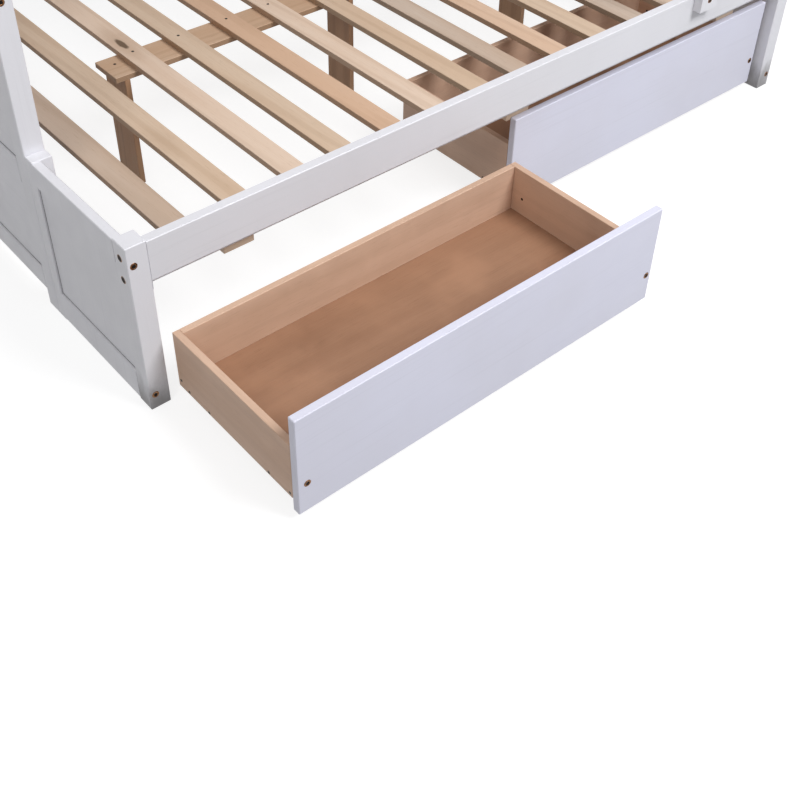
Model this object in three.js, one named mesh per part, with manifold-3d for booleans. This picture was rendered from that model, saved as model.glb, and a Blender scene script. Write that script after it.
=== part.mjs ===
// Twin-over-full bunk bed with two roll-out drawers, white painted frame, bare wood slats.
// Millimetres, +X along the side rails, -Y towards the front (drawers), +Z up, floor at z = 0.
import * as THREE from 'three';
import { mergeVertices } from 'three/addons/utils/BufferGeometryUtils.js';
import { ConvexGeometry } from 'three/addons/geometries/ConvexGeometry.js';
import Module from 'manifold-3d';

// ---- driving dimensions -------------------------------------------------------------
const BED_LENGTH = 2000;          // outside of left posts to outside of right posts
const BED_WIDTH = 1456;           // front face of short posts to back face of tall posts
const BED_HEIGHT = 1620;          // top of the tall posts
const POST = 44;                  // square posts
const GAP = 0.3;                  // play left between fitted pieces
const EASE = 1.5;                 // eased (chamfered) edges on posts and rails

const RAIL_THICK = 22;            // side rails of both bunks
const RAIL_HEIGHT = 90;
const LOWER_RAIL_TOP = 397;
const SHORT_POST_TOP = LOWER_RAIL_TOP + 3;
const LEDGE_DEPTH = 28;           // ledge along the inside of a side rail
const LEDGE_HEIGHT = 15;
const LEDGE_BACKING = 7;          // upright strip that fixes the ledge to the rail
const LEDGE_LOWER = 5;            // top of the ledge below the rail's bottom edge
const SLAT_WIDTH = 57;
const SLAT_THICK = 15;
const FIRST_SLAT = 132;           // left end of the bed to the first lower slat
const LAST_SLAT = 200;            // last lower slat to the right end of the bed
// The gaps between the lower slats share out the rest in these parts: they are screwed
// down by eye, so they are uneven.
const SLAT_GAPS = [85, 88, 68, 81, 69, 80, 70, 78, 82, 79, 80, 77];

const STILE_DEPTH = 30;           // rear stile of the front extension panel
const TALL_FRONT = 374;           // front face of the front tall posts
const FRAME_THICK = 20;           // rails of the end panels
const PANEL_THICK = 6;
const PANEL_RECESS = 5;           // panels sit this far behind the outer face
const TONGUE = 6;                 // panel edge let into the rails
const EXTENSION_FOOT = 3;         // bottom rail of the extension panel, off the floor
const EXTENSION_FOOT_RAIL = 70;
const EXTENSION_TOP_RAIL = 53;
const LOWER_END_FOOT = 41;        // the panel between the tall posts, off the floor
const LOWER_END_TOP = 745;
const END_RAIL = 54;              // height of its plain rails
const END_TOP_RAIL = 65;          // height of the top rails
const LOWER_END_MIDDLE = 316;     // underside of its middle rail
const UPPER_END_DROP = 45;        // top of a tall post down to the upper end panel

const DRAWER_FRONT_THICK = 18;
const DRAWER_FRONT_LIFT = 17.5;   // floor to bottom edge of a drawer front
const DRAWER_HEADROOM = 49.5;     // top edge of a drawer front up to the side rail
const DRAWER_END_PLAY = 14.5;     // short post to the nearer drawer front
const DRAWER_GAP = 3;             // between the two drawer fronts
const DRAWER_SETBACK = 26;        // front face of a closed drawer behind the rail face
const DRAWER_PULL = 431;          // left drawer stands this far open
const BOX_OVERHANG = 34;          // the front runs on past the right side of the box
const BOX_DEPTH = 370;
const BOX_BOTTOM = 47;
const BOX_DROP = 72.5;            // top edge of the front down to the box's rim
const BOX_WALL = 15;
const FLOOR_THICK = 6;
const FLOOR_RISE = 17;            // underside of the box walls up to the floor board
const WHEEL_RADIUS = 22;
const WHEEL_WIDTH = 18;
const AXLE_RADIUS = 5;
const CARRIER_INSET = 90;         // wheel carriers, in from the box sides
const CARRIER_THICK = 20;
const CARRIER_WALL = 8;           // wood left under an axle
const AXLE_INSET = 70;            // axles, in from the front and back of the box
const AXLE_PLAY = 0.1;

const BEAM_WIDTH = 96;
const BEAM_THICK = 14;
const BEAM_LEFT = 361;            // left end of the bed to the beam
const BEAM_RIGHT = 265;           // beam to the right end of the bed
const LEG_INSET = 22;             // beam's ends to the outer legs
const LEG_COUNT = 3;
const LEG_THICK = 14;
const BLOCK_SIZE = [71, 40, 36];  // drawer stop blocks

const STOP_LEFT = 224;            // left end of the bed to the first stop block
const STOP_MIDDLE = 11;           // middle of the bed back to the second
const STOP_RIGHT = 250;           // third stop block to the right end of the bed

const UPPER_RAIL_DROP = 380;      // top of a tall post down to the upper side rail
const UPPER_LEDGE_RISE = 10;
const UPPER_LEDGE_HEIGHT = 22;
const UPPER_SLAT_MARGIN = 60;
const UPPER_SLAT_COUNT = 13;
const GUARD_THICK = 18;
const GUARD_BOARD = 60;
const GUARD_LOW = 55;             // upper side rail up to the lower guard board
const GUARD_HIGH = 195;           // and up to the upper one
const WAY_IN = 460;               // front guard to the right end of the bed

const LADDER_STILE = 62;
const LADDER_THICK = 22;
const LADDER_WIDTH = 390;
const LADDER_RIGHT = 40;          // ladder to the right end of the bed
const LADDER_HANG = 37;           // ladder's feet below the top of the lower side rail
const LADDER_LEAN = 5;            // it leans back from this far above that rail
const RUNG_COUNT = 4;
const RUNG_DEPTH = 50;
const RUNG_THICK = 22;

// ---- values that follow from them ----------------------------------------------------
const RIGHT_POST_X = BED_LENGTH - POST;
const BACK_POST_Y = BED_WIDTH - POST;
const RAIL_START = POST + GAP;
const RAIL_LENGTH = BED_LENGTH - 2 * RAIL_START;
const LOWER_RAIL_BOTTOM = LOWER_RAIL_TOP - RAIL_HEIGHT;
const LEDGE_TOP = LOWER_RAIL_BOTTOM - LEDGE_LOWER;
const LEDGE_BOTTOM = LEDGE_TOP - LEDGE_HEIGHT;
const SLAT_BOTTOM = LEDGE_TOP + GAP;
const UPPER_RAIL_TOP = BED_HEIGHT - UPPER_RAIL_DROP;
const UPPER_RAIL_BOTTOM = UPPER_RAIL_TOP - RAIL_HEIGHT;
const END_START = TALL_FRONT + POST + GAP;
const END_FINISH = BACK_POST_Y - GAP;
const DRAWER_FRONT_TOP = LOWER_RAIL_BOTTOM - DRAWER_HEADROOM;
const DRAWER_SPACE = BED_LENGTH - 2 * (POST + DRAWER_END_PLAY);
const DRAWER_FRONT_WIDTH = (DRAWER_SPACE - DRAWER_GAP) / 2;
const BOX_WIDTH = DRAWER_FRONT_WIDTH - BOX_OVERHANG;
const BOX_TOP = DRAWER_FRONT_TOP - BOX_DROP;
const FLOOR_BOTTOM = BOX_BOTTOM + FLOOR_RISE;
const LADDER_LEFT = BED_LENGTH - LADDER_RIGHT - LADDER_WIDTH;

const wasm = await Module();
wasm.setup();

// ---- materials -----------------------------------------------------------------------
const PAINT = { color: 0xe8e8ec, roughness: 0.42, metalness: 0 };
const SLAT_WOOD = { color: 0xc9a988, roughness: 0.68, metalness: 0 };
const BOX_WOOD = { color: 0xb48c6e, roughness: 0.6, metalness: 0 };
const WHEEL_PLASTIC = { color: 0x2b2b2d, roughness: 0.5, metalness: 0 };

function addMesh(parent, name, geometry, look, position = [0, 0, 0]) {
  const mesh = new THREE.Mesh(geometry, new THREE.MeshStandardMaterial({ ...look, name }));
  mesh.name = name;
  mesh.position.set(...position);
  parent.add(mesh);
  return mesh;
}

function addGroup(parent, name, position = [0, 0, 0]) {
  const group = new THREE.Group();
  group.name = name;
  group.position.set(...position);
  parent.add(group);
  return group;
}

// ---- shapes --------------------------------------------------------------------------
// A box given by its low corner and size.
function block(x, y, z, sx, sy, sz) {
  const geometry = new THREE.BoxGeometry(sx, sy, sz);
  geometry.translate(x + sx / 2, y + sy / 2, z + sz / 2);
  return geometry;
}

// The same box with its edges chamfered by `ease`. A board that butts against others has a
// `squareAxis`, 0 to 2 for x to z: the edges round its two ends stay square.
function easedBlock(x, y, z, sx, sy, sz, ease = EASE, squareAxis = -1) {
  const points = [];
  const full = [sx / 2, sy / 2, sz / 2];
  for (const i of [-1, 1]) {
    for (const j of [-1, 1]) {
      for (const k of [-1, 1]) {
        for (const keep of [0, 1, 2].filter((axis) => axis !== squareAxis)) {
          const corner = [i, j, k].map((sign, axis) =>
            sign * (axis === keep || axis === squareAxis ? full[axis] : full[axis] - ease));
          points.push(new THREE.Vector3(...corner));
        }
      }
    }
  }
  const geometry = new ConvexGeometry(points);
  geometry.translate(x + sx / 2, y + sy / 2, z + sz / 2);
  return geometry;
}

function cylinderX(radius, x, y, z, length, segments = 32) {
  const geometry = new THREE.CylinderGeometry(radius, radius, length, segments);
  geometry.rotateZ(Math.PI / 2);
  geometry.translate(x + length / 2, y, z);
  return geometry;
}

// ---- booleans ------------------------------------------------------------------------
function toSolid(geometry) {
  const bare = geometry.clone();
  bare.deleteAttribute('normal');
  bare.deleteAttribute('uv');
  const merged = mergeVertices(bare, 1e-4);
  const source = new wasm.Mesh({
    numProp: 3,
    vertProperties: new Float32Array(merged.attributes.position.array),
    triVerts: new Uint32Array(merged.index.array),
  });
  return new wasm.Manifold(source);
}

function toGeometry(solid) {
  const mesh = solid.getMesh();
  const indexed = new THREE.BufferGeometry();
  indexed.setAttribute('position', new THREE.BufferAttribute(mesh.vertProperties.slice(), 3));
  indexed.setIndex(new THREE.BufferAttribute(mesh.triVerts.slice(), 1));
  const flat = indexed.toNonIndexed();
  flat.computeVertexNormals();
  return flat;
}

function join(geometries) {
  return toGeometry(geometries.map(toSolid).reduce((a, b) => a.add(b)));
}

function cut(geometry, tools) {
  return toGeometry(tools.map(toSolid).reduce((a, b) => a.subtract(b), toSolid(geometry)));
}

// Turns a left-hand geometry into its right-hand twin across the middle of the bed.
function mirrorX(geometry) {
  return toGeometry(toSolid(geometry).mirror([1, 0, 0]).translate([BED_LENGTH, 0, 0]));
}

// ---- end frames ----------------------------------------------------------------------
// Rails running front to back with thin recessed panels between them, glued up as one.
function endFrame(yStart, yEnd, railBands) {
  const pieces = railBands.map(([low, high]) =>
    easedBlock(0, yStart, low, FRAME_THICK, yEnd - yStart, high - low, EASE, 1));
  for (let i = 1; i < railBands.length; i += 1) {
    const low = railBands[i - 1][1] - TONGUE;
    const high = railBands[i][0] + TONGUE;
    pieces.push(block(PANEL_RECESS, yStart, low, PANEL_THICK, yEnd - yStart, high - low));
  }
  return pieces;
}

function extensionFrame() {
  const start = POST + GAP;
  const stileStart = TALL_FRONT - STILE_DEPTH;
  const pieces = endFrame(start, stileStart + TONGUE, [
    [EXTENSION_FOOT, EXTENSION_FOOT + EXTENSION_FOOT_RAIL],
    [LOWER_RAIL_TOP - EXTENSION_TOP_RAIL, LOWER_RAIL_TOP],
  ]);
  pieces.push(easedBlock(0, stileStart, 0, POST, STILE_DEPTH - GAP, SHORT_POST_TOP));
  return join(pieces);
}

function lowerEndFrame() {
  return join(endFrame(END_START, END_FINISH, [
    [LOWER_END_FOOT, LOWER_END_FOOT + END_RAIL],
    [LOWER_END_MIDDLE, LOWER_END_MIDDLE + END_RAIL],
    [LOWER_END_TOP - END_TOP_RAIL, LOWER_END_TOP],
  ]));
}

function upperEndFrame() {
  const top = BED_HEIGHT - UPPER_END_DROP;
  return join(endFrame(END_START, END_FINISH, [
    [UPPER_RAIL_BOTTOM, UPPER_RAIL_BOTTOM + END_TOP_RAIL],
    [top - END_TOP_RAIL, top],
  ]));
}

function addEnds(parent) {
  const frames = [
    ['extension_panel', extensionFrame()],
    ['lower_end_panel', lowerEndFrame()],
    ['upper_end_panel', upperEndFrame()],
  ];
  for (const [side, postX] of [['left', 0], ['right', RIGHT_POST_X]]) {
    const end = addGroup(parent, `end_${side}`);
    addMesh(end, `corner_post_${side}`,
      easedBlock(0, 0, 0, POST, POST, SHORT_POST_TOP), PAINT, [postX, 0, 0]);
    for (const [place, postY] of [['front', TALL_FRONT], ['back', BACK_POST_Y]]) {
      addMesh(end, `tall_post_${place}_${side}`,
        easedBlock(0, 0, 0, POST, POST, BED_HEIGHT), PAINT, [postX, postY, 0]);
    }
    for (const [name, geometry] of frames) {
      const placed = side === 'left' ? geometry : mirrorX(geometry);
      addMesh(end, `${name}_${side}`, placed, PAINT);
    }
  }
}

// ---- lower bunk ----------------------------------------------------------------------
// Side rail with the slat ledge glued along its inside; `front` puts the ledge behind.
function lowerRail(front) {
  const railY = front ? 0 : BED_WIDTH - RAIL_THICK;
  const ledgeY = BED_WIDTH - RAIL_THICK - LEDGE_DEPTH;
  const backingY = front ? RAIL_THICK - 1 : BED_WIDTH - RAIL_THICK - LEDGE_BACKING;
  return join([
    easedBlock(RAIL_START, railY, LOWER_RAIL_BOTTOM, RAIL_LENGTH, RAIL_THICK, RAIL_HEIGHT,
      EASE, 0),
    block(RAIL_START, backingY, LEDGE_BOTTOM, RAIL_LENGTH, LEDGE_BACKING + 1,
      LEDGE_HEIGHT + LEDGE_LOWER + 12),
    block(RAIL_START, front ? RAIL_THICK - 1 : ledgeY, LEDGE_BOTTOM,
      RAIL_LENGTH, LEDGE_DEPTH + 1, LEDGE_HEIGHT),
  ]);
}

function addLowerBunk(parent) {
  const bunk = addGroup(parent, 'lower_bunk');
  addMesh(bunk, 'lower_rail_front', lowerRail(true), PAINT);
  addMesh(bunk, 'lower_rail_back', lowerRail(false), PAINT);

  const slatStart = RAIL_THICK + LEDGE_BACKING + GAP;
  const slat = easedBlock(0, slatStart, SLAT_BOTTOM, SLAT_WIDTH,
    BED_WIDTH - 2 * slatStart, SLAT_THICK, 1);
  const slatCount = SLAT_GAPS.length + 1;
  const gapRoom = BED_LENGTH - FIRST_SLAT - LAST_SLAT - slatCount * SLAT_WIDTH;
  const gapUnit = gapRoom / SLAT_GAPS.reduce((sum, gap) => sum + gap, 0);
  let x = FIRST_SLAT;
  for (let i = 0; i < slatCount; i += 1) {
    addMesh(bunk, `lower_slat_${i + 1}`, slat.clone(), SLAT_WOOD, [x, 0, 0]);
    x += SLAT_WIDTH + (SLAT_GAPS[i] ?? 0) * gapUnit;
  }

  const beamY = (BED_WIDTH - BEAM_WIDTH) / 2;
  const beamBottom = LEDGE_TOP - BEAM_THICK;
  const beamLength = BED_LENGTH - BEAM_LEFT - BEAM_RIGHT;
  addMesh(bunk, 'centre_beam', easedBlock(BEAM_LEFT, beamY, beamBottom,
    beamLength, BEAM_WIDTH, BEAM_THICK, 1), SLAT_WOOD);
  const legPitch = (beamLength - 2 * LEG_INSET - LEG_THICK) / (LEG_COUNT - 1);
  for (let i = 0; i < LEG_COUNT; i += 1) {
    addMesh(bunk, `centre_leg_${i + 1}`,
      easedBlock(0, beamY, 0, LEG_THICK, BEAM_WIDTH, beamBottom - GAP, 1),
      SLAT_WOOD, [BEAM_LEFT + LEG_INSET + i * legPitch, 0, 0]);
  }

  // Stop blocks hang under the front ledge and meet the back of a closed drawer front.
  const blockY = DRAWER_SETBACK + DRAWER_FRONT_THICK + GAP;
  const blockTop = LEDGE_BOTTOM - GAP;
  const blockX = [STOP_LEFT, BED_LENGTH / 2 - STOP_MIDDLE, BED_LENGTH - STOP_RIGHT];
  blockX.forEach((left, i) => {
    addMesh(bunk, `drawer_stop_${i + 1}`, easedBlock(left, blockY, blockTop - BLOCK_SIZE[2],
      BLOCK_SIZE[0], BLOCK_SIZE[1], BLOCK_SIZE[2], 1), SLAT_WOOD);
  });
}

// ---- drawers -------------------------------------------------------------------------
// Built with the front's left bottom-front corner over x = 0, y = 0; the floor is z = 0.
function addDrawer(parent, side, position) {
  const drawer = addGroup(parent, `drawer_${side}`, position);
  const boxFront = DRAWER_FRONT_THICK + GAP;
  const boxBack = boxFront + BOX_DEPTH;
  const wallHeight = BOX_TOP - BOX_BOTTOM;
  const groove = FLOOR_THICK + 2 * GAP;
  const grooveZ = FLOOR_BOTTOM - GAP;

  addMesh(drawer, `drawer_${side}_front`, easedBlock(0, 0, DRAWER_FRONT_LIFT,
    DRAWER_FRONT_WIDTH, DRAWER_FRONT_THICK, DRAWER_FRONT_TOP - DRAWER_FRONT_LIFT, 1.5), PAINT);

  const wall = easedBlock(0, boxFront, BOX_BOTTOM, BOX_WALL, BOX_DEPTH, wallHeight, 1);
  const wallGroove = block(BOX_WALL - TONGUE, boxFront - 1, grooveZ,
    TONGUE + 1, BOX_DEPTH + 2, groove);
  const leftWall = cut(wall, [wallGroove]);
  addMesh(drawer, `drawer_${side}_wall_left`, leftWall, BOX_WOOD);
  const rightWall = toGeometry(toSolid(leftWall).mirror([1, 0, 0]));
  addMesh(drawer, `drawer_${side}_wall_right`, rightWall, BOX_WOOD, [BOX_WIDTH, 0, 0]);

  const innerX = BOX_WALL + GAP;
  const innerWidth = BOX_WIDTH - 2 * innerX;
  const backBoard = easedBlock(innerX, boxBack - BOX_WALL, BOX_BOTTOM,
    innerWidth, BOX_WALL, wallHeight, 1);
  const backGroove = block(innerX - 1, boxBack - BOX_WALL - 1, grooveZ,
    innerWidth + 2, TONGUE + 1, groove);
  addMesh(drawer, `drawer_${side}_back`, cut(backBoard, [backGroove]), BOX_WOOD);

  // Floor board with the two wheel carriers glued underneath.
  const floorX = BOX_WALL - TONGUE + GAP;
  const floorY = boxFront + GAP;
  const floorBack = boxBack - BOX_WALL + TONGUE - GAP;
  const axleY = [boxFront + AXLE_INSET, boxBack - AXLE_INSET];
  const carrierX = [CARRIER_INSET, BOX_WIDTH - CARRIER_INSET - CARRIER_THICK];
  const carrierZ = WHEEL_RADIUS - AXLE_RADIUS - CARRIER_WALL;
  const carrierEnd = AXLE_INSET / 2;
  const carriers = carrierX.map((x) => block(x, axleY[0] - carrierEnd, carrierZ,
    CARRIER_THICK, axleY[1] - axleY[0] + 2 * carrierEnd, FLOOR_BOTTOM + 1 - carrierZ));
  const floor = block(floorX, floorY, FLOOR_BOTTOM,
    BOX_WIDTH - 2 * floorX, floorBack - floorY, FLOOR_THICK);
  const bores = axleY.map((y) =>
    cylinderX(AXLE_RADIUS + AXLE_PLAY, carrierX[0] - 1, y, WHEEL_RADIUS,
      carrierX[1] - carrierX[0] + CARRIER_THICK + 2));
  addMesh(drawer, `drawer_${side}_floor`, cut(join([floor, ...carriers]), bores), BOX_WOOD);

  // One axle with its two wheels turns as a single piece.
  const wheelX = [
    carrierX[0] - WHEEL_WIDTH - 2,
    carrierX[1] + CARRIER_THICK + 2,
  ];
  const axle = cylinderX(AXLE_RADIUS, wheelX[0] - 4, 0, 0,
    wheelX[1] - wheelX[0] + WHEEL_WIDTH + 8);
  const wheels = wheelX.map((x) => cylinderX(WHEEL_RADIUS, x, 0, 0, WHEEL_WIDTH, 48));
  const wheelSet = join([axle, ...wheels]);
  axleY.forEach((y, i) => {
    addMesh(drawer, `drawer_${side}_wheels_${i ? 'back' : 'front'}`,
      i ? wheelSet.clone() : wheelSet, WHEEL_PLASTIC, [0, y, WHEEL_RADIUS]);
  });
}

// ---- upper bunk ----------------------------------------------------------------------
function upperDeck() {
  const ledgeZ = UPPER_RAIL_BOTTOM + UPPER_LEDGE_RISE;
  const frontY = TALL_FRONT + RAIL_THICK + GAP;
  const backY = BED_WIDTH - RAIL_THICK - GAP - LEDGE_DEPTH;
  const pieces = [frontY, backY].map((y) =>
    block(RAIL_START, y, ledgeZ, RAIL_LENGTH, LEDGE_DEPTH, UPPER_LEDGE_HEIGHT));
  const slatRoom = RAIL_LENGTH - 2 * UPPER_SLAT_MARGIN - SLAT_WIDTH;
  const pitch = slatRoom / (UPPER_SLAT_COUNT - 1);
  for (let i = 0; i < UPPER_SLAT_COUNT; i += 1) {
    pieces.push(block(RAIL_START + UPPER_SLAT_MARGIN + i * pitch, frontY + 1,
      ledgeZ + UPPER_LEDGE_HEIGHT - 1, SLAT_WIDTH,
      backY + LEDGE_DEPTH - frontY - 2, SLAT_THICK + 1));
  }
  return join(pieces);
}

function guardRail(y, xEnd, uprights) {
  const low = UPPER_RAIL_TOP + GAP;
  const boards = [low + GUARD_LOW, low + GUARD_HIGH].map((z) =>
    easedBlock(RAIL_START, y, z, xEnd - RAIL_START, GUARD_THICK, GUARD_BOARD, 2));
  const height = GUARD_HIGH + GUARD_BOARD - 8;
  const span = xEnd - RAIL_START - GUARD_BOARD;
  for (let i = 0; i < uprights; i += 1) {
    const x = RAIL_START + span * ((i + 1) / uprights);
    boards.push(easedBlock(x - (i === uprights - 1 ? 4 : 0), y + 1, low,
      GUARD_BOARD, GUARD_THICK - 2, height, 2));
  }
  return join(boards);
}

function addUpperBunk(parent) {
  const bunk = addGroup(parent, 'upper_bunk');
  for (const [place, y] of [['front', TALL_FRONT], ['back', BED_WIDTH - RAIL_THICK]]) {
    addMesh(bunk, `upper_rail_${place}`, easedBlock(RAIL_START, y, UPPER_RAIL_BOTTOM,
      RAIL_LENGTH, RAIL_THICK, RAIL_HEIGHT, EASE, 0), PAINT);
  }
  addMesh(bunk, 'upper_slat_deck', upperDeck(), SLAT_WOOD);
  addMesh(bunk, 'guard_rail_front', guardRail(TALL_FRONT + 2, BED_LENGTH - WAY_IN, 3), PAINT);
  addMesh(bunk, 'guard_rail_back',
    guardRail(BED_WIDTH - GUARD_THICK - 2, BED_LENGTH - RAIL_START, 4), PAINT);
}

// ---- ladder --------------------------------------------------------------------------
// Each stile stands plumb against the lower rail, leans back, and ends plumb on the upper.
function ladderStile() {
  const foot = LOWER_RAIL_TOP - LADDER_HANG;
  const lean = LOWER_RAIL_TOP + LADDER_LEAN;
  const outline = [
    [-LADDER_THICK - GAP, foot],
    [-GAP, foot],
    [-GAP, lean],
    [TALL_FRONT - GAP, UPPER_RAIL_BOTTOM],
    [TALL_FRONT - GAP, UPPER_RAIL_TOP - 4],
    [TALL_FRONT - GAP - LADDER_THICK, UPPER_RAIL_TOP - 4],
    [TALL_FRONT - GAP - LADDER_THICK, UPPER_RAIL_BOTTOM],
    [-LADDER_THICK - GAP, lean],
  ];
  const shape = new THREE.Shape(outline.map(([y, z]) => new THREE.Vector2(y, z)));
  const geometry = new THREE.ExtrudeGeometry(shape, {
    depth: LADDER_STILE, bevelEnabled: false, steps: 1,
  });
  // shape x, y, depth -> bed y, z, x
  geometry.applyMatrix4(new THREE.Matrix4().set(
    0, 0, 1, 0,
    1, 0, 0, 0,
    0, 1, 0, 0,
    0, 0, 0, 1,
  ));
  return toGeometry(toSolid(geometry));
}

function addLadder(parent) {
  const ladder = addGroup(parent, 'ladder', [LADDER_LEFT, 0, 0]);
  const right = LADDER_WIDTH - LADDER_STILE;
  addMesh(ladder, 'ladder_stile_left', ladderStile(), PAINT);
  addMesh(ladder, 'ladder_stile_right', ladderStile(), PAINT, [right, 0, 0]);
  const lean = LOWER_RAIL_TOP + LADDER_LEAN;
  const slope = TALL_FRONT / (UPPER_RAIL_BOTTOM - lean);
  const pitch = (UPPER_RAIL_TOP - LOWER_RAIL_TOP) / (RUNG_COUNT + 1);
  for (let i = 1; i <= RUNG_COUNT; i += 1) {
    const z = LOWER_RAIL_TOP + i * pitch;
    const y = (z - lean) * slope - LADDER_THICK / 2 - GAP;
    addMesh(ladder, `ladder_rung_${i}`, easedBlock(LADDER_STILE + GAP, y - RUNG_DEPTH / 2,
      z - RUNG_THICK / 2, right - LADDER_STILE - 2 * GAP, RUNG_DEPTH, RUNG_THICK, 2), PAINT);
  }
}

// ---- the bed, centred over its own footprint with the left drawer standing open -------
const openFrontY = DRAWER_SETBACK - DRAWER_PULL;
const bed = new THREE.Group();
bed.name = 'bunk_bed';
bed.position.set(-BED_LENGTH / 2, -(BED_WIDTH + openFrontY) / 2, 0);

addEnds(bed);
addLowerBunk(bed);
addUpperBunk(bed);
addLadder(bed);
const leftDrawerX = POST + DRAWER_END_PLAY;
const rightDrawerX = (BED_LENGTH + DRAWER_GAP) / 2;
addDrawer(bed, 'left', [leftDrawerX, openFrontY, 0]);
addDrawer(bed, 'right', [rightDrawerX, DRAWER_SETBACK, 0]);

export default bed;
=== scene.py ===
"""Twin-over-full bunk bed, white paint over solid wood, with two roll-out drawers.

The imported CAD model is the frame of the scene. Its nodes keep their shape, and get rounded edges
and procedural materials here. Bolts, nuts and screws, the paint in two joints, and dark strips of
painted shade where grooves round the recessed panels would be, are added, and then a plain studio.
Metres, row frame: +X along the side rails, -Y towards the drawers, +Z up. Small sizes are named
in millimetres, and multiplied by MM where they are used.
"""
import math
import random
from fnmatch import fnmatch

import bmesh
import bpy
from mathutils import Matrix, Vector


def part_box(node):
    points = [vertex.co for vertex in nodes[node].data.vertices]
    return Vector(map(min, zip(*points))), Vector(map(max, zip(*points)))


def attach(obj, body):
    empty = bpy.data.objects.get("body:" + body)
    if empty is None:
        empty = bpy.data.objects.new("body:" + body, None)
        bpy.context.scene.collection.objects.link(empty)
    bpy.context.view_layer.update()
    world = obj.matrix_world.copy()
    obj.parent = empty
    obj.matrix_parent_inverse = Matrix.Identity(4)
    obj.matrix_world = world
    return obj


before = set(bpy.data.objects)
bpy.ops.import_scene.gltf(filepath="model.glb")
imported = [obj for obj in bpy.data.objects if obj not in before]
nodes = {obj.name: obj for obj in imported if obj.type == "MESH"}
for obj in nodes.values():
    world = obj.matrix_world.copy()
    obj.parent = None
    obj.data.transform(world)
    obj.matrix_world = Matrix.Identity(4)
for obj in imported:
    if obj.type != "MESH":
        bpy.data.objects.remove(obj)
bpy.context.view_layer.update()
MM = 0.001
dice = random.Random(7)

LEFT, RIGHT = Vector((-1, 0, 0)), Vector((1, 0, 0))
FRONT, BACK, UP = Vector((0, -1, 0)), Vector((0, 1, 0)), Vector((0, 0, 1))


# ---- general helpers -----------------------------------------------------------------
def add_object(name, data):
    made = bpy.data.objects.new(name, data)
    bpy.context.scene.collection.objects.link(made)
    return made


def add_piece(name, mesh, materials, body):
    """Makes a finished bmesh a visible piece, which rides on that body."""
    data = bpy.data.meshes.new(name)
    mesh.to_mesh(data)
    mesh.free()
    for material in materials:
        data.materials.append(material)
    piece = add_object(name, data)
    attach(piece, body)


def add_prism(mesh, near, far):
    """Adds the closed body between two outlines that have the same number of points."""
    near = [mesh.verts.new(spot) for spot in near]
    far = [mesh.verts.new(spot) for spot in far]
    mesh.faces.new(near[::-1])
    mesh.faces.new(far)
    for index in range(len(near)):
        after = (index + 1) % len(near)
        mesh.faces.new((near[index], near[after], far[after], far[index]))


def first_match(name, rules):
    """The value of the first pattern in rules that fits a node's name."""
    return next(value for pattern, value in rules.items() if fnmatch(name, pattern))


def side_face(name, side):
    """Where a node's left or right face is, in x, and the way it looks."""
    low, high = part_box(name)
    return (low[0], LEFT) if side == "left" else (high[0], RIGHT)


def middle_x(name):
    low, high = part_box(name)
    return (low[0] + high[0]) / 2


# ---- camera --------------------------------------------------------------------------
CAMERA_PLACE = Vector((-1.6794, -2.0267, 1.6570))
CAMERA_AIM = Vector((-0.4166, -0.5919, 0.0))  # where the view axis meets the floor
CAMERA_ROLL = math.radians(1.31)
CAMERA_LENS = 52.15
SENSOR_WIDTH = 36.0
CAMERA_SHIFT_Y = -0.12
CAMERA_REACH = 200.0  # metres, past the far edge of the floor


def add_camera():
    data = bpy.data.cameras.new("camera")
    data.lens = CAMERA_LENS
    data.sensor_width = SENSOR_WIDTH
    data.shift_y = CAMERA_SHIFT_Y
    data.clip_end = CAMERA_REACH
    camera = add_object("camera", data)
    look = (CAMERA_AIM - CAMERA_PLACE).to_track_quat("-Z", "Y").to_matrix().to_4x4()
    roll = Matrix.Rotation(CAMERA_ROLL, 4, "Z")
    camera.matrix_world = Matrix.Translation(CAMERA_PLACE) @ look @ roll
    bpy.context.scene.camera = camera


# ---- shader helpers ------------------------------------------------------------------
MAPPING_SPREAD = 40.0  # each material starts its patterns at its own place, up to this far off


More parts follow.
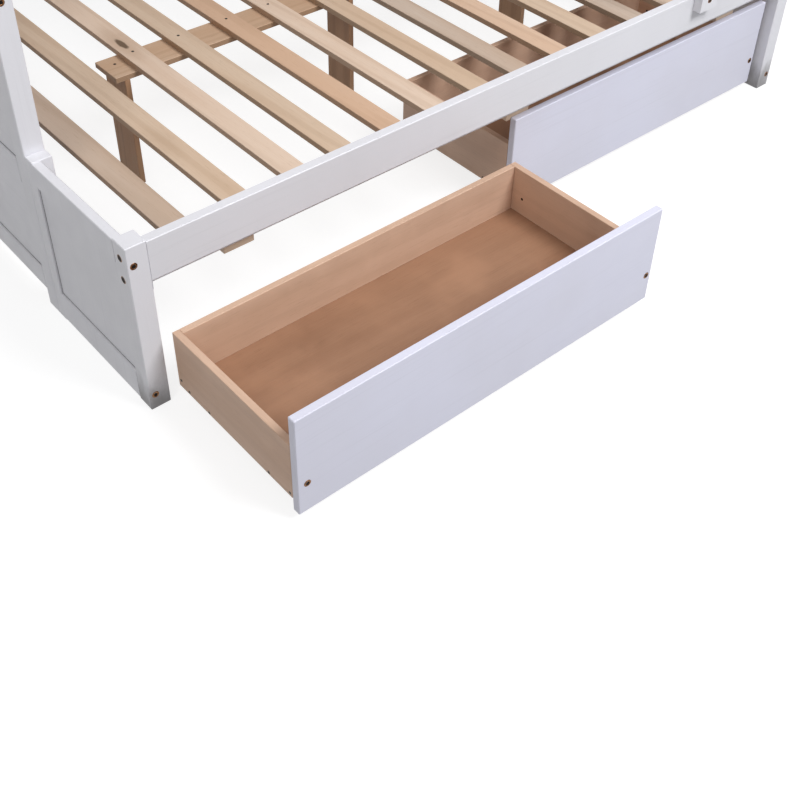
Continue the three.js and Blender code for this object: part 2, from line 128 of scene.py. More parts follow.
class Shader:
    """A material's node tree, with short names for the nodes that this scene uses."""

    def __init__(self, name):
        self.material = bpy.data.materials.new(name)
        self.material.use_nodes = True
        self.tree = self.material.node_tree
        self.bsdf = self.tree.nodes["Principled BSDF"]
        self.place = self.node("ShaderNodeTexCoord").outputs["Object"]
        self.offset = tuple(dice.uniform(0.0, MAPPING_SPREAD) for _ in "XYZ")

    def node(self, kind, **values):
        made = self.tree.nodes.new(kind)
        for key, value in values.items():
            setattr(made, key, value)
        return made

    def link(self, source, target):
        self.tree.links.new(source, target)

    def feed(self, socket, value):
        if isinstance(value, bpy.types.NodeSocket):
            self.link(value, socket)
        else:
            socket.default_value = value

    def uniform(self, **values):
        """Sets values that are the same all over, on the shader's own sockets: _ is a space."""
        for key, value in values.items():
            self.bsdf.inputs[key.replace("_", " ")].default_value = value

    def scaled(self, scale):
        mapping = self.node("ShaderNodeMapping")
        self.link(self.place, mapping.inputs["Vector"])
        mapping.inputs["Scale"].default_value = scale
        mapping.inputs["Location"].default_value = self.offset
        return mapping.outputs["Vector"]

    def noise(self, vector, scale=1.0, detail=4.0, roughness=0.5):
        made = self.node("ShaderNodeTexNoise")
        self.link(vector, made.inputs["Vector"])
        made.inputs["Scale"].default_value = scale
        made.inputs["Detail"].default_value = detail
        made.inputs["Roughness"].default_value = roughness
        return made.outputs["Fac"]

    def bands(self, vector, distortion, detail, detail_scale):
        """Wavy diagonal bands, as flat-sawn boards have."""
        made = self.node("ShaderNodeTexWave", wave_type="BANDS", bands_direction="DIAGONAL")
        self.link(vector, made.inputs["Vector"])
        made.inputs["Scale"].default_value = 1.0
        made.inputs["Distortion"].default_value = distortion
        made.inputs["Detail"].default_value = detail
        made.inputs["Detail Scale"].default_value = detail_scale
        return made.outputs["Fac"]

    def calculate(self, operation, first, second=0.5):
        made = self.node("ShaderNodeMath", operation=operation)
        self.feed(made.inputs[0], first)
        self.feed(made.inputs[1], second)
        return made.outputs[0]

    def times(self, first, second):
        return self.calculate("MULTIPLY", first, second)

    def step(self, value, low, high, to=(0.0, 1.0)):
        """A smooth step from the first of to, at value low, to its second, at value high."""
        made = self.node("ShaderNodeMapRange", interpolation_type="SMOOTHSTEP")
        self.feed(made.inputs["Value"], value)
        made.inputs["From Min"].default_value = low
        made.inputs["From Max"].default_value = high
        made.inputs["To Min"].default_value = to[0]
        made.inputs["To Max"].default_value = to[1]
        return made.outputs["Result"]

    def ramp(self, value, stops):
        made = self.node("ShaderNodeValToRGB")
        self.link(value, made.inputs["Fac"])
        elements = made.color_ramp.elements
        while len(elements) < len(stops):
            elements.new(0.5)
        for element, (position, color) in zip(elements, stops):
            element.position = position
            element.color = (*color, 1.0)
        return made.outputs["Color"]

    def mix(self, share, first, second):
        made = self.node("ShaderNodeMix", data_type="RGBA", blend_type="MIX")
        self.feed(made.inputs["Factor"], share)
        colors = [socket for socket in made.inputs if socket.type == "RGBA"]
        for socket, value in zip(colors, (first, second)):
            if isinstance(value, bpy.types.NodeSocket):
                self.link(value, socket)
            else:
                socket.default_value = (*value, 1.0)
        return next(socket for socket in made.outputs if socket.type == "RGBA")

    def component(self, vector, axis):
        made = self.node("ShaderNodeSeparateXYZ")
        self.link(vector, made.inputs[0])
        return made.outputs["XYZ".index(axis)]

    def color(self, value):
        self.link(value, self.bsdf.inputs["Base Color"])

    def roughness(self, value):
        self.link(value, self.bsdf.inputs["Roughness"])

    def bump(self, heights):
        """Stacks (height, depth in millimetres) pairs into one bump, and puts it on the shader."""
        before = None
        for height, depth in heights:
            made = self.node("ShaderNodeBump")
            made.inputs["Strength"].default_value = 1.0
            made.inputs["Distance"].default_value = depth * MM
            self.link(height, made.inputs["Height"])
            if before:
                self.link(before, made.inputs["Normal"])
            before = made.outputs["Normal"]
        self.link(before, self.bsdf.inputs["Normal"])


def along(axis, slow, fast):
    """A mapping scale that stretches a pattern along the grain axis 'X', 'Y' or 'Z'."""
    return tuple(slow if name == axis else fast for name in "XYZ")


def dimmed(color, share):
    return tuple(share * part for part in color)


def tinted(color, tint, most):
    """A colour with each part multiplied by the tint's, and no part above most."""
    return tuple(min(most, part * share) for part, share in zip(color, tint))


# ---- paint ---------------------------------------------------------------------------
# main tone and shade of each paint
PAINT = ((0.775, 0.770, 0.805), (0.745, 0.740, 0.770))
# the drawer fronts' paint is a darker, bluer copy of the white paint: painted shade
FRONT_PAINT_SHADED = ((0.721, 0.721, 0.834), (0.693, 0.688, 0.784))
# the next paint is painted shade: near-black strips where the panel grooves' shade would fall
GROOVE_SHADE_PAINT = ((0.215, 0.212, 0.220), (0.130, 0.128, 0.134))
PAINT_GRAIN_DEPTH = 0.22
FRONT_GRAIN_DEPTH = 0.11
STIPPLE_DEPTH = 0.05
# painted shade: the corner posts' feet turn grey towards the floor, as a contact shadow
FOOT_SHADE = (0.24, 0.23, 0.23)
FOOT_SHADE_HEIGHT = 0.05  # metres up to which a foot gets darker, with painted contact shade
FOOT_SHADE_SMEAR = 0.10  # metres that smears of that shade add to it at most
FOOT_SHADE_SHARE = 0.90


def painted_wood(name, axis, colors, foot_shaded=False, grain_depth=PAINT_GRAIN_DEPTH):
    """Satin paint, rolled on over wood whose grain still reads a little.

    Asked for, a foot gets painted contact shade: grey where it meets the floor, in smears.
    """
    main, shade = colors
    look = Shader(name)
    cloud = look.noise(look.scaled((1.0, 1.0, 1.0)), scale=3.0, detail=3.0)
    grain = look.noise(look.scaled(along(axis, 3.0, 170.0)), detail=6.0, roughness=0.6)
    stipple = look.noise(look.place, scale=620.0, detail=2.0)
    polish = look.noise(look.place, scale=24.0)
    tint = look.mix(look.step(cloud, 0.35, 0.7), main, shade)
    tint = look.mix(look.step(grain, 0.52, 0.75, to=(0.0, 0.30)), tint, dimmed(shade, 0.88))
    # painted shade: darker grey towards the floor, as a contact shadow, smeared by noise
    if foot_shaded:
        smear = look.noise(look.scaled((30.0, 30.0, 14.0)), roughness=0.6)
        drop = look.times(smear, -FOOT_SHADE_SMEAR)
        height = look.calculate("ADD", look.component(look.place, "Z"), drop)
        foot_shade = look.step(height, -FOOT_SHADE_HEIGHT, FOOT_SHADE_HEIGHT, to=(FOOT_SHADE_SHARE, 0.0))
        tint = look.mix(foot_shade, tint, FOOT_SHADE)
    look.color(tint)
    look.roughness(look.step(polish, 0.3, 0.7, to=(0.43, 0.57)))
    look.uniform(Specular_IOR_Level=0.45)
    look.bump([(grain, grain_depth), (stipple, STIPPLE_DEPTH)])
    return look.material


# ---- bare wood -----------------------------------------------------------------------
# pale, middle and dark shade of each wood
SLAT = ((0.684, 0.531, 0.405), (0.621, 0.446, 0.316), (0.405, 0.261, 0.160))
# the legs' wood is darker than the rest: painted shade for the dark under the bed
LEG_SHADED = ((0.414, 0.234, 0.129), (0.352, 0.191, 0.099), (0.202, 0.101, 0.051))
BOARD = ((0.680, 0.469, 0.343), (0.610, 0.403, 0.281), (0.380, 0.224, 0.146))
DRAWER_FLOOR = ((0.352, 0.195, 0.118), (0.308, 0.164, 0.097), (0.200, 0.101, 0.057))

# slats and the beam differ a little in tone; the drawer stops are paler, with painted light
SLAT_TONES = {
    "greyish": (0.88, 0.92, 0.98),
    "tan": (1.00, 1.00, 0.98),
    "pale": (1.12, 1.14, 1.18),
    "reddish": (1.06, 0.99, 0.95),
}
SLAT_ORDER = ("greyish", "tan", "pale", "tan", "reddish", "pale", "tan",
              "greyish", "reddish", "tan", "greyish", "pale", "tan")
BEAM_TONE = (0.90, 0.83, 0.76)
STOP_LIGHTENED_TONE = (1.22, 1.28, 1.30)
PALEST = 0.92  # no part of a toned colour is above this
BLOOM = 1.35  # how much paler than its pale shade a mottled board gets in patches
PALEST_BLOOM = 0.9

FIGURE_DEPTH = 0.06
FIBRE_DEPTH = 0.30
KNOT_CELLS = 7.0  # per metre across the grain, each with at most one knot
KNOT_STRETCH = 0.28  # the share of that number along the grain
KNOT_SIZE = 0.075  # a knot's radius, in cells
KNOT_RAGGED = 0.6  # how uneven its edge is, in radii
KNOT_CHANCE = 0.45  # the share of cells that have a knot
PLY_PITCH = 0.0036  # metres from layer to layer


def knots(look, axis):
    """Mask and surroundings of a few knots, as two values from 0 to 1."""
    cells = look.node("ShaderNodeTexVoronoi", feature="F1", distance="EUCLIDEAN")
    look.link(look.scaled(along(axis, KNOT_STRETCH * KNOT_CELLS, KNOT_CELLS)),
              cells.inputs["Vector"])
    cells.inputs["Scale"].default_value = 1.0
    ragged = look.times(look.noise(look.place, scale=60.0, detail=3.0), KNOT_SIZE * KNOT_RAGGED)
    near = look.calculate("ADD", cells.outputs["Distance"], ragged)
    pick = look.calculate("GREATER_THAN", look.component(cells.outputs["Color"], "X"),
                          1.0 - KNOT_CHANCE)
    core = look.step(near, 0.85 * KNOT_SIZE, 1.25 * KNOT_SIZE, to=(1.0, 0.0))
    halo = look.step(near, KNOT_SIZE, 4.0 * KNOT_SIZE, to=(1.0, 0.0))
    return look.times(core, pick), look.times(halo, pick)


def shaded_layered_edges(look, color, shade):
    """Plywood: a flat-lying board's narrow sides show their layers, darkened with painted shade.
    """
    facing = look.node("ShaderNodeTexCoord").outputs["Normal"]
    flat = look.calculate("ABSOLUTE", look.component(facing, "Z"))
    # painted shade: narrow sides, found by their normal, take the dark wood colour
    side = look.step(flat, 0.35, 0.75, to=(1.0, 0.0))
    phase = look.times(look.component(look.place, "Z"), 2.0 * math.pi / PLY_PITCH)
    layer = look.calculate("SINE", phase)
    tint = look.mix(look.step(layer, -0.4, 0.4, to=(0.0, 0.5)), shade, dimmed(shade, 0.6))
    return look.mix(look.times(side, 0.85), color, tint)


def bare_wood(name, axis, colors, plywood=False, figured=0.22, rough=(0.55, 0.72), mottled=0.0):
    """Planed timber: broad tone changes, flat-sawn figure, fine fibres and pores.

    Plywood has a few knots too, and shows its layers at the sides, which painted shade darkens.
    """
    pale, mid, dark = colors
    look = Shader(name)
    tone = look.noise(look.scaled(along(axis, 0.5, 7.0)), detail=2.0)
    figure = look.bands(look.scaled(along(axis, 0.55, 12.0)), distortion=9.0, detail=3.0,
                        detail_scale=1.1)
    fibre = look.noise(look.scaled(along(axis, 7.0, 420.0)), detail=8.0, roughness=0.65)
    pores = look.noise(look.scaled(along(axis, 26.0, 900.0)), detail=2.0)
    color = look.ramp(tone, [(0.32, mid), (0.52, pale), (0.70, mid)])
    color = look.mix(look.step(figure, 0.55, 1.0, to=(0.0, figured)), color, dark)
    color = look.mix(look.step(fibre, 0.38, 0.72, to=(0.0, 0.50)), color, mid)
    color = look.mix(look.step(pores, 0.60, 0.74, to=(0.0, 0.40)), color, dark)
    if mottled:
        patch = look.noise(look.scaled((5.0, 5.0, 5.0)), detail=3.0, roughness=0.55)
        bloom = tinted(pale, (BLOOM, BLOOM, BLOOM), PALEST_BLOOM)
        color = look.mix(look.step(patch, 0.48, 0.72, to=(0.0, mottled)), color, bloom)
        color = look.mix(look.step(patch, 0.24, 0.46, to=(mottled, 0.0)), color, dark)
    if plywood:
        core, halo = knots(look, axis)
        color = look.mix(look.times(halo, 0.45), color, dark)
        color = look.mix(core, color, dimmed(dark, 0.38))
        color = shaded_layered_edges(look, color, dark)
    look.color(color)
    look.roughness(look.step(fibre, 0.3, 0.7, to=rough))
    look.uniform(Specular_IOR_Level=0.3)
    look.bump([(figure, FIGURE_DEPTH), (fibre, FIBRE_DEPTH)])
    return look.material


def toned(colors, tint):
    return [tinted(color, tint, PALEST) for color in colors]


# ---- plastic and metal ---------------------------------------------------------------
PLASTIC = ((0.020, 0.020, 0.022), (0.045, 0.044, 0.044))
PLASTIC_TEXTURE_DEPTH = 0.04
METAL_TEXTURE_DEPTH = 0.03
# bright and dark colour of each metal, and the roughness of both
BRASS = ((0.30, 0.155, 0.070), (0.10, 0.042, 0.024), (0.2, 0.4))
STEEL = ((0.16, 0.14, 0.12), (0.06, 0.05, 0.045), (0.32, 0.5))
# no metal's own colour: near-black painted shade inside sockets, cross recesses and holes
RECESS_SHADE = ((0.035, 0.03, 0.028), (0.015, 0.012, 0.012), (0.6, 0.8))


def moulded_plastic():
    look = Shader("black_plastic")
    cloud = look.noise(look.place, scale=45.0)
    look.color(look.mix(look.step(cloud, 0.35, 0.7), *PLASTIC))
    look.roughness(look.step(cloud, 0.3, 0.7, to=(0.38, 0.58)))
    texture = look.noise(look.place, scale=1400.0, detail=2.0)
    look.bump([(texture, PLASTIC_TEXTURE_DEPTH)])
    return look.material


def aged_metal(name, bright, dark, rough):
    """Lacquered metal with a darker patina in patches."""
    look = Shader(name)
    patina = look.noise(look.place, scale=380.0, roughness=0.6)
    look.color(look.mix(look.step(patina, 0.42, 0.62), bright, dark))
    look.uniform(Metallic=1.0)
    look.roughness(look.step(patina, 0.35, 0.7, to=rough))
    texture = look.noise(look.place, scale=1800.0, detail=3.0)
    look.bump([(texture, METAL_TEXTURE_DEPTH)])
    return look.material


# ---- the CAD nodes -------------------------------------------------------------------
SHARPEST_CURVE = math.radians(28.0)  # a turn beyond this is an edge
# bevel width in millimetres
EDGE_WIDTHS = {
    "*_wheels_*": 0.8,
    "*_panel_*": 0.8,
    "*_post_*": 0.3,
    "lower_rail_*": 0.3,
    "upper_rail_*": 0.3,
    "*": 0.35,
}


def longest_axis(name):
    low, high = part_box(name)
    sides = {axis: high[index] - low[index] for index, axis in enumerate("XYZ")}
    return max(sides, key=sides.get)


def dress_nodes():
    """Gives each CAD node its material, whose grain runs along the node's own length."""
    paint = {axis: painted_wood(f"paint_grain_{axis.lower()}", axis, PAINT) for axis in "XYZ"}
    # the corner posts' paint, with painted contact shade at the foot
    post = painted_wood("shaded_foot_post_paint", "Z", PAINT, foot_shaded=True)
    # painted shade: the drawer fronts get the darker, bluer copy of the white paint
    front = painted_wood("drawer_front_shaded_paint", "X", FRONT_PAINT_SHADED, grain_depth=FRONT_GRAIN_DEPTH)
    # painted shade: the legs get darker wood, for the dark under the bed
    leg = bare_wood("leg_wood_shaded", "Z", LEG_SHADED, figured=0.30)
    tones = {tone: bare_wood(f"slat_{tone}", "Y", toned(SLAT, tint), plywood=True)
             for tone, tint in SLAT_TONES.items()}
    beam = bare_wood("beam_wood", "X", toned(SLAT, BEAM_TONE), plywood=True)
    # painted light: the drawer stops' wood is paler, against the shade under the rail
    stop = bare_wood("stop_wood_lightened", "X", toned(SLAT, STOP_LIGHTENED_TONE))
    board = {axis: bare_wood(f"drawer_board_{axis.lower()}", axis, BOARD, figured=0.12,
                             rough=(0.48, 0.66), mottled=0.25)
             for axis in "XY"}
    base = bare_wood("drawer_floor_board", "X", DRAWER_FLOOR, figured=0.10, rough=(0.34, 0.48),
                     mottled=0.45)
    plastic = moulded_plastic()
    slats = {f"lower_slat_{index}": tones[tone] for index, tone in enumerate(SLAT_ORDER, 1)}
    rules = {
        **slats,
        "upper_slat_deck": tones["tan"],
        "centre_beam": beam,
        "centre_leg_*": leg,
        "corner_post_*": post,
        "drawer_stop_*": stop,
        "drawer_*_wheels_*": plastic,
        "drawer_*_floor": base,
        "drawer_*_front": front,
        "drawer_*": board,
        "*": paint,
    }
    for name, node in nodes.items():
        chosen = first_match(name, rules)
        if isinstance(chosen, dict):
            chosen = chosen[longest_axis(name)]
        node.data.materials.clear()
        node.data.materials.append(chosen)


def round_edges():
    """Sanded edges: a little wider on the panels and the wheels, where light catches them."""
    for name, node in nodes.items():
        edges = node.modifiers.new("rounded_edges", "BEVEL")
        edges.width = first_match(name, EDGE_WIDTHS) * MM
        edges.segments = 2
        edges.limit_method = "ANGLE"
        edges.angle_limit = SHARPEST_CURVE


# ---- bolt and screw heads ------------------------------------------------------------
RING_STEPS = 72
METAL, SHADED = 0, 1  # a head's two materials: its metal, and painted shade in its socket, recess or hole


def circle(radius):
    return lambda angle: radius


def hexagon(radius):
    def reach(angle):
        turned = (angle % math.radians(60.0)) - math.radians(30.0)
        return radius * math.cos(math.radians(30.0)) / math.cos(turned)
    return reach


def cross(length, width):
    """A cross recess: four arms of that length and half width."""
    def reach(angle):
        turned = (angle + math.radians(45.0)) % math.radians(90.0) - math.radians(45.0)
        if abs(math.tan(turned)) * length <= width:
            return length / math.cos(turned)
        return width / abs(math.sin(turned))
    return reach


# each head as rings from its rim inwards: outline, height above the face and material, in mm
HEADS = {
    "bolt": [(circle(7.5), 0.0, METAL), (circle(7.5), 0.35, METAL), (circle(6.9), 0.75, METAL),
             (circle(5.8), 0.90, METAL), (hexagon(4.4), 0.78, METAL), (hexagon(4.2), 0.12, SHADED)],
    "barrel": [(circle(7.8), 0.0, METAL), (circle(7.8), 0.15, METAL), (circle(7.3), 0.30, METAL),
               (circle(6.6), 0.30, METAL), (circle(6.3), 0.10, SHADED)],
    "hole": [(circle(3.4), 0.0, SHADED), (circle(3.4), 0.05, SHADED), (circle(2.9), 0.08, SHADED)],
    "screw": [(circle(3.6), 0.0, METAL), (circle(3.5), 0.18, METAL), (circle(2.9), 0.34, METAL),
              (cross(2.3, 0.55), 0.30, METAL), (cross(2.0, 0.40), 0.06, SHADED)],
}


def add_head(mesh, kind, place, facing, turn):
    """Adds one head to mesh, on a face at place that looks along facing."""
    axes = facing.to_track_quat("Z", "Y").to_matrix()
    rings = []
    for outline, height, _ in HEADS[kind]:
        ring = []
        for step in range(RING_STEPS):
            angle = 2.0 * math.pi * step / RING_STEPS
            reach = outline(angle)
            spot = Vector((reach * math.cos(angle + turn), reach * math.sin(angle + turn), height))
            ring.append(mesh.verts.new(Vector(place) + axes @ (spot * MM)))
        rings.append(ring)
    materials = [material for _, _, material in HEADS[kind]]
    for outer, inner, material in zip(rings, rings[1:], materials[1:]):
        for step in range(RING_STEPS):
            after = (step + 1) % RING_STEPS
            face = mesh.faces.new((outer[step], outer[after], inner[after], inner[step]))
            face.material_index = material
            face.smooth = True
    mesh.faces.new(rings[-1]).material_index = materials[-1]
    mesh.faces.new(rings[0][::-1]).material_index = materials[0]


def add_heads(name, body, heads, materials):
    """One piece of several heads, (kind, place, facing) each, riding on that body."""
    mesh = bmesh.new()
    for kind, place, facing in heads:
        add_head(mesh, kind, place, facing, dice.uniform(0.0, math.pi))
    add_piece(name, mesh, materials, body)


# ---- where the heads are, in millimetres ---------------------------------------------
POST_BOLT_INSET = 13  # from the corner post's outer face
POST_BOLT_DROP = 43  # below its top
POST_BOLT_RISE = 36  # above its foot
POST_NUT_SETBACK = 24  # behind its front face
POST_NUT_DROPS = (33, 83)

PANEL_BOLT_INSET = 32  # from an end panel's top or bottom edge
PANEL_FOOT_BOLT_RISE = 27
RAIL_BOLT_RISE = 56  # above the lower rail's bottom edge
RAIL_NUT_SETBACK = 11  # from the tall post's face
UPPER_NUT_INSET = 24  # from the upper rail's top or bottom edge
LOWER_NUT_RISE = 44  # above the lower rail's bottom edge
LOWER_NUT_DROP = 25  # below its top edge

LADDER_BOLT_RISE = 26  # above the stile's foot
LADDER_BOLT_DROP = 40  # below its top
LADDER_THICKNESS = 22

FRONT_BOLT_LEFT = (21, 72)  # in from the drawer front's end, up from its bottom edge
FRONT_BOLT_RIGHT = (14, 70)
# ahead of the drawer wall's rear end, up from its bottom edge
WALL_SCREWS = ((10, 19), (37, 7.5), (105, 5), (298, 6), (363, 9))
WALL_HOLE = (46, 65)
BACK_SCREW_COUNT = 4
BACK_SCREW_RISE = 6

SLAT_SCREW_INSET = 13  # from the slat's end
SLAT_SCREW_ASIDE = 14  # to each side of the slat's middle
BEAM_SCREW_SETBACK = 13  # behind the beam's middle
BEAM_SCREW_ASIDE = 2
LEG_COUNT = 3
LEG_SCREW_SETBACK = 12
LEG_SCREW_ASIDE = 3
LEG_SCREW_ROOM = 4  # a slat this close to the leg's middle covers the screw


def corner_post_heads(side):
    """Two barrel nuts into the side rail, and a bolt near each end of the front face."""
    name = f"corner_post_{side}"
    low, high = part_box(name)
    outer_x, out = side_face(name, side)
    bolt_x = outer_x - out.x * POST_BOLT_INSET * MM
    heads = [("bolt", (bolt_x, low[1], high[2] - POST_BOLT_DROP * MM), FRONT),
             ("bolt", (bolt_x, low[1], low[2] + POST_BOLT_RISE * MM), FRONT)]
    for drop in POST_NUT_DROPS:
        place = (outer_x, low[1] + POST_NUT_SETBACK * MM, high[2] - drop * MM)
        heads.append(("barrel", place, out))
    return heads


def tall_post_heights(place, side):
    """How high a tall post's bolts and nuts are, from the end panels and rails they hold.

    The front posts carry no lower rail, and an extension panel covers their lower front faces.
    """
    inset = PANEL_BOLT_INSET * MM
    lower_low, lower_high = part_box(f"lower_end_panel_{side}")
    upper_low, upper_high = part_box(f"upper_end_panel_{side}")
    bolts = [lower_high[2] - inset, upper_low[2] + inset, upper_high[2] - inset]
    low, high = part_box(f"upper_rail_{place}")
    nuts = [low[2] + UPPER_NUT_INSET * MM, high[2] - UPPER_NUT_INSET * MM]
    if place == "back":
        low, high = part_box("lower_rail_back")
        bolts = [lower_low[2] + PANEL_FOOT_BOLT_RISE * MM, low[2] + RAIL_BOLT_RISE * MM] + bolts
        nuts = [low[2] + LOWER_NUT_RISE * MM, high[2] - LOWER_NUT_DROP * MM] + nuts
    return bolts, nuts


def tall_post_heads(side):
    """Bolts on the front or back faces, and barrel nuts on the outer faces."""
    heads = []
    for place in ("front", "back"):
        name = f"tall_post_{place}_{side}"
        low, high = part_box(name)
        outer_x, out = side_face(name, side)
        face_y, facing = (low[1], FRONT) if place == "front" else (high[1], BACK)
        bolts, nuts = tall_post_heights(place, side)
        for height in bolts:
            heads.append(("bolt", (middle_x(name), face_y, height), facing))
        nut_y = face_y - facing.y * RAIL_NUT_SETBACK * MM
        for height in nuts:
            heads.append(("barrel", (outer_x, nut_y, height), out))
    return heads


def ladder_heads():
    """A bolt at the foot of each stile, and one near its top, where it is plumb again."""
    heads = []
    for side in ("left", "right"):
        name = f"ladder_stile_{side}"
        low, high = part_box(name)
        middle = middle_x(name)
        top_y = high[1] - LADDER_THICKNESS * MM
        heads.append(("bolt", (middle, low[1], low[2] + LADDER_BOLT_RISE * MM), FRONT))
        heads.append(("bolt", (middle, top_y, high[2] - LADDER_BOLT_DROP * MM), FRONT))
    return heads


def drawer_front_heads(side):
    low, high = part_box(f"drawer_{side}_front")
    inset, rise = FRONT_BOLT_LEFT
    left_place = (low[0] + inset * MM, low[1], low[2] + rise * MM)
    inset, rise = FRONT_BOLT_RIGHT
    right_place = (high[0] - inset * MM, low[1], low[2] + rise * MM)
    return [("bolt", left_place, FRONT), ("bolt", right_place, FRONT)]


def drawer_box_heads(side):
    """Screws low down in the walls and the back; a small hole inside each wall is painted shade.
    """
    heads = []
    for wall in ("left", "right"):
        name = f"drawer_{side}_wall_{wall}"
        low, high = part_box(name)
        outer_x, out = side_face(name, wall)
        for ahead, rise in WALL_SCREWS:
            heads.append(("screw", (outer_x, high[1] - ahead * MM, low[2] + rise * MM), out))
        inner_x = high[0] if wall == "left" else low[0]
        ahead, rise = WALL_HOLE
        heads.append(("hole", (inner_x, high[1] - ahead * MM, low[2] + rise * MM), -out))
    low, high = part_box(f"drawer_{side}_back")
    for index in range(BACK_SCREW_COUNT):
        spot_x = low[0] + (high[0] - low[0]) * (index + 0.5) / BACK_SCREW_COUNT
        heads.append(("screw", (spot_x, high[1], low[2] + BACK_SCREW_RISE * MM), BACK))
    return heads


def slat_heads():
    """Two screws at each slat's ends and one into the beam, and one over each uncovered leg."""
    heads = []
    beam_low, beam_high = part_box("centre_beam")
    beam_y = (beam_low[1] + beam_high[1]) / 2
    slats = [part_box(f"lower_slat_{index}") for index in range(1, len(SLAT_ORDER) + 1)]
    inset, aside = SLAT_SCREW_INSET * MM, SLAT_SCREW_ASIDE * MM
    for low, high in slats:
        middle = (low[0] + high[0]) / 2
        for end_y in (low[1] + inset, high[1] - inset):
            for spot_x in (middle - aside, middle + aside):
                heads.append(("screw", (spot_x, end_y, high[2]), UP))
        if beam_low[0] < low[0] and high[0] < beam_high[0]:
            spot_x = middle - BEAM_SCREW_ASIDE * MM
            heads.append(("screw", (spot_x, beam_y + BEAM_SCREW_SETBACK * MM, high[2]), UP))
    room = LEG_SCREW_ROOM * MM
    for index in range(1, LEG_COUNT + 1):
        middle = middle_x(f"centre_leg_{index}")
        if any(low[0] - room < middle < high[0] + room for low, high in slats):
            continue
        spot_x = middle + LEG_SCREW_ASIDE * MM
        heads.append(("screw", (spot_x, beam_y + LEG_SCREW_SETBACK * MM, beam_high[2]), UP))
    return heads


def add_hardware():
    brass = aged_metal("antique_brass", *BRASS)
    steel = aged_metal("dark_screw_steel", *STEEL)
    # painted shade: the near-black inside bolt sockets, screw recesses and holes
    recess = aged_metal("recess_shade", *RECESS_SHADE)
    bolts = (brass, recess)
    screws = (steel, recess)
    for side in ("left", "right"):
        drawer = f"drawer_{side}"
        add_heads(f"corner_post_bolts_{side}", "frame", corner_post_heads(side), bolts)
        add_heads(f"tall_post_bolts_{side}", "frame", tall_post_heads(side), bolts)
        add_heads(f"{drawer}_front_bolts", drawer, drawer_front_heads(side), bolts)
        add_heads(f"{drawer}_screws", drawer, drawer_box_heads(side), screws)
    add_heads("ladder_bolts", "frame", ladder_heads(), bolts)
    add_heads("slat_screws", "frame", slat_heads(), screws)


# ---- paint in the joints -------------------------------------------------------------
FILL_SAG = (0.06, 0.11, 0.13, 0.11, 0.06)  # mm that the paint sinks in, across a joint
FILL_DEPTH = 2.0  # mm
FILL_INSET = 0.3  # mm from the rail's top and bottom edges


def joint_paint():
    """The paint that bridges the hairline between the front side rail and its two posts."""
    rail_low, rail_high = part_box("lower_rail_front")
    mesh = bmesh.new()
    for side in ("left", "right"):
        post_low, post_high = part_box(f"corner_post_{side}")
        if side == "left":
            start, stop = post_high[0], rail_low[0]
        else:
            start, stop = rail_high[0], post_low[0]
        outline = []
        for index, sag in enumerate(FILL_SAG):
            share = index / (len(FILL_SAG) - 1)
            outline.append((start + (stop - start) * share, rail_low[1] + sag * MM))
        outline.append((stop, rail_low[1] + FILL_DEPTH * MM))
        outline.append((start, rail_low[1] + FILL_DEPTH * MM))
        bottom, top = rail_low[2] + FILL_INSET * MM, rail_high[2] - FILL_INSET * MM
        add_prism(mesh, [(x, y, bottom) for x, y in outline], [(x, y, top) for x, y in outline])
    rail_paint = nodes["lower_rail_front"].data.materials[0]
    add_piece("joint_paint", mesh, [rail_paint], "frame")


# ---- painted shade for the grooves round the recessed panels -------------------------
GROOVE_SHADE_WIDTH = 1.9  # mm
GROOVE_SHADE_HEIGHTS = (0.02, 0.20)  # mm above the panel, of a strip's back and front
LEAST_RECESS = 1.0  # mm
SMALLEST_PANEL = 0.01  # square metres: smaller flat faces aren't panels
SAME_WAY = 0.99  # cosine between a face's normal and the way it should look
SAME_SPOT_DIGITS = 5  # in metres


def flat_patches(name, side):
    """The flat parts of a node that face along x on that side, as (x, y0, z0, y1, z1)."""
    node = nodes[name]
    turn = node.matrix_world.to_3x3()
    patches = []
    for face in node.data.polygons:
        if side * (turn @ face.normal).x < SAME_WAY:
            continue
        corners = [node.matrix_world @ node.data.vertices[index].co for index in face.vertices]
        spots = {tuple(round(part, SAME_SPOT_DIGITS) for part in corner) for corner in corners}
        joined = [patch for patch in patches if patch & spots]
        patches = [patch for patch in patches if not patch & spots]
        patches.append(spots.union(*joined))
    boxes = []
    for patch in patches:
        xs, ys, zs = zip(*sorted(patch))
        boxes.append((xs[0], min(ys), min(zs), max(ys), max(zs)))
    return boxes


def groove_shade_strip(mesh, x, side, outer, inner):
    """One mitred strip between two outer and two inner corners."""
    corners = [outer[0], outer[1], inner[1], inner[0]]
    back, front = ([(x + side * height * MM, y, z) for y, z in corners]
                   for height in GROOVE_SHADE_HEIGHTS)
    add_prism(mesh, back, front)


def recessed_panels(name, side):
    """A node's flat patches that lie deeper than its outer face and are large enough."""
    low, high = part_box(name)
    face_x = low[0] if side < 0 else high[0]
    return [(x, y0, z0, y1, z1) for x, y0, z0, y1, z1 in flat_patches(name, side)
            if abs(x - face_x) > LEAST_RECESS * MM and (y1 - y0) * (z1 - z0) >= SMALLEST_PANEL]


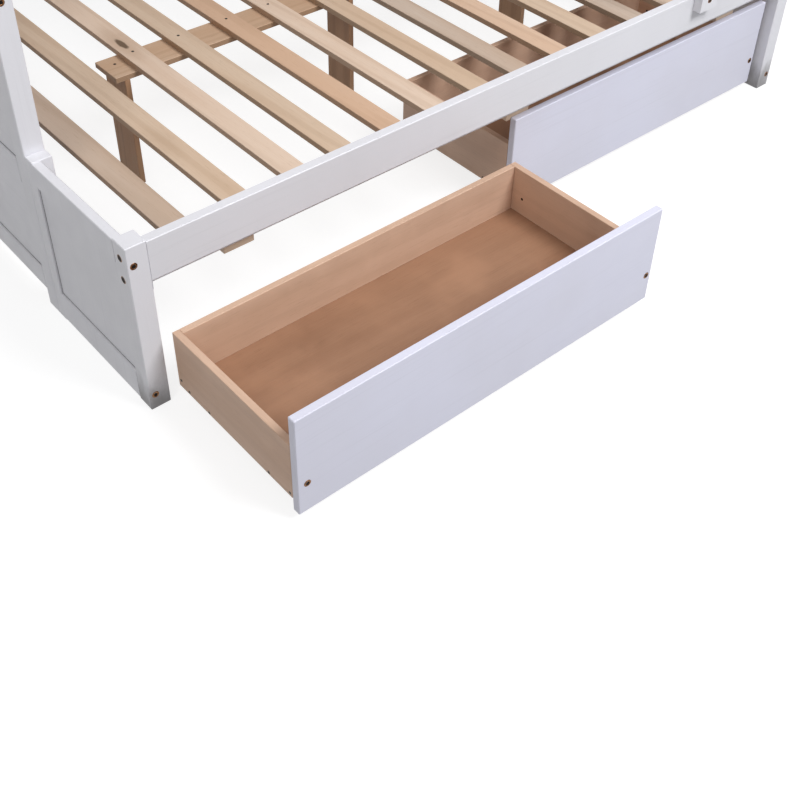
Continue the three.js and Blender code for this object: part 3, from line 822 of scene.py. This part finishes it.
def panel_groove_shade():
    """Painted shade: a dark strip where each recessed panel meets its rails and stiles."""
    mesh = bmesh.new()
    inset = GROOVE_SHADE_WIDTH * MM
    for name in sorted(nodes):
        if "_panel_" not in name:
            continue
        # from the bottom edge on; an extension panel runs straight into its post at the last
        edges = range(3) if name.startswith("extension") else range(4)
        for side in (-1, 1):
            for x, y0, z0, y1, z1 in recessed_panels(name, side):
                outer = [(y0, z0), (y1, z0), (y1, z1), (y0, z1)]
                inner = [(y0 + inset, z0 + inset), (y1 - inset, z0 + inset),
                         (y1 - inset, z1 - inset), (y0 + inset, z1 - inset)]
                for index in edges:
                    after = (index + 1) % 4
                    groove_shade_strip(mesh, x, side, (outer[index], outer[after]),
                                 (inner[index], inner[after]))
    bmesh.ops.recalc_face_normals(mesh, faces=mesh.faces)
    # painted shade: a near-black paint for the strips, as a groove's shadow
    paint = painted_wood("groove_shade_paint", "Y", GROOVE_SHADE_PAINT)
    add_piece("panel_groove_shade", mesh, [paint], "frame")


# ---- studio --------------------------------------------------------------------------
FLOOR_REACH = 40.0  # metres from the middle to each edge
FLOOR_DROP = 0.5  # mm below the bed's feet
FLOOR_COLOR = (0.30, 0.30, 0.30, 1.0)
FLOOR_GLOW = 0.80
SKY_COLOR = (0.96, 0.97, 1.0, 1.0)
SKY_STRENGTH = 0.33
LIGHT_AIM = Vector((0.0, 0.0, 0.2))
# place, diameter in metres, power in watts and colour
KEY_LIGHT = (Vector((1.0, -3.5, 4.2)), 2.3, 224.0, (0.97, 0.98, 1.0))
LEFT_LIGHT = (Vector((-3.6, -2.0, 4.2)), 2.0, 58.0, (1.0, 0.98, 0.95))


def add_floor():
    """A floor that is white by its own glow, with only a faint shadow under the bed."""
    look = Shader("studio_floor")
    look.uniform(Base_Color=FLOOR_COLOR, Roughness=0.9, Specular_IOR_Level=0.1,
                 Emission_Color=(1.0, 1.0, 1.0, 1.0), Emission_Strength=FLOOR_GLOW)
    data = bpy.data.meshes.new("studio_floor")
    reach = FLOOR_REACH
    corners = [(-reach, -reach, 0), (reach, -reach, 0), (reach, reach, 0), (-reach, reach, 0)]
    data.from_pydata(corners, [], [(0, 1, 2, 3)])
    data.materials.append(look.material)
    floor = add_object("studio_floor", data)
    floor.location.z = -FLOOR_DROP * MM
    floor.visible_diffuse = False  # it throws no light up under the bed


def add_light(name, place, size, power, color):
    data = bpy.data.lights.new(name, "AREA")
    data.shape = "DISK"
    data.size = size
    data.energy = power
    data.color = color
    light = add_object(name, data)
    light.location = place
    light.rotation_euler = (LIGHT_AIM - place).to_track_quat("-Z", "Y").to_euler()


def add_studio():
    world = bpy.data.worlds.new("studio")
    bpy.context.scene.world = world
    world.use_nodes = True
    sky = world.node_tree.nodes["Background"]
    sky.inputs["Color"].default_value = SKY_COLOR
    sky.inputs["Strength"].default_value = SKY_STRENGTH
    add_light("key_light", *KEY_LIGHT)
    add_light("left_light", *LEFT_LIGHT)
    bpy.context.scene.view_settings.view_transform = "Standard"


add_camera()
dress_nodes()
round_edges()
add_hardware()
joint_paint()
panel_groove_shade()
add_floor()
add_studio()
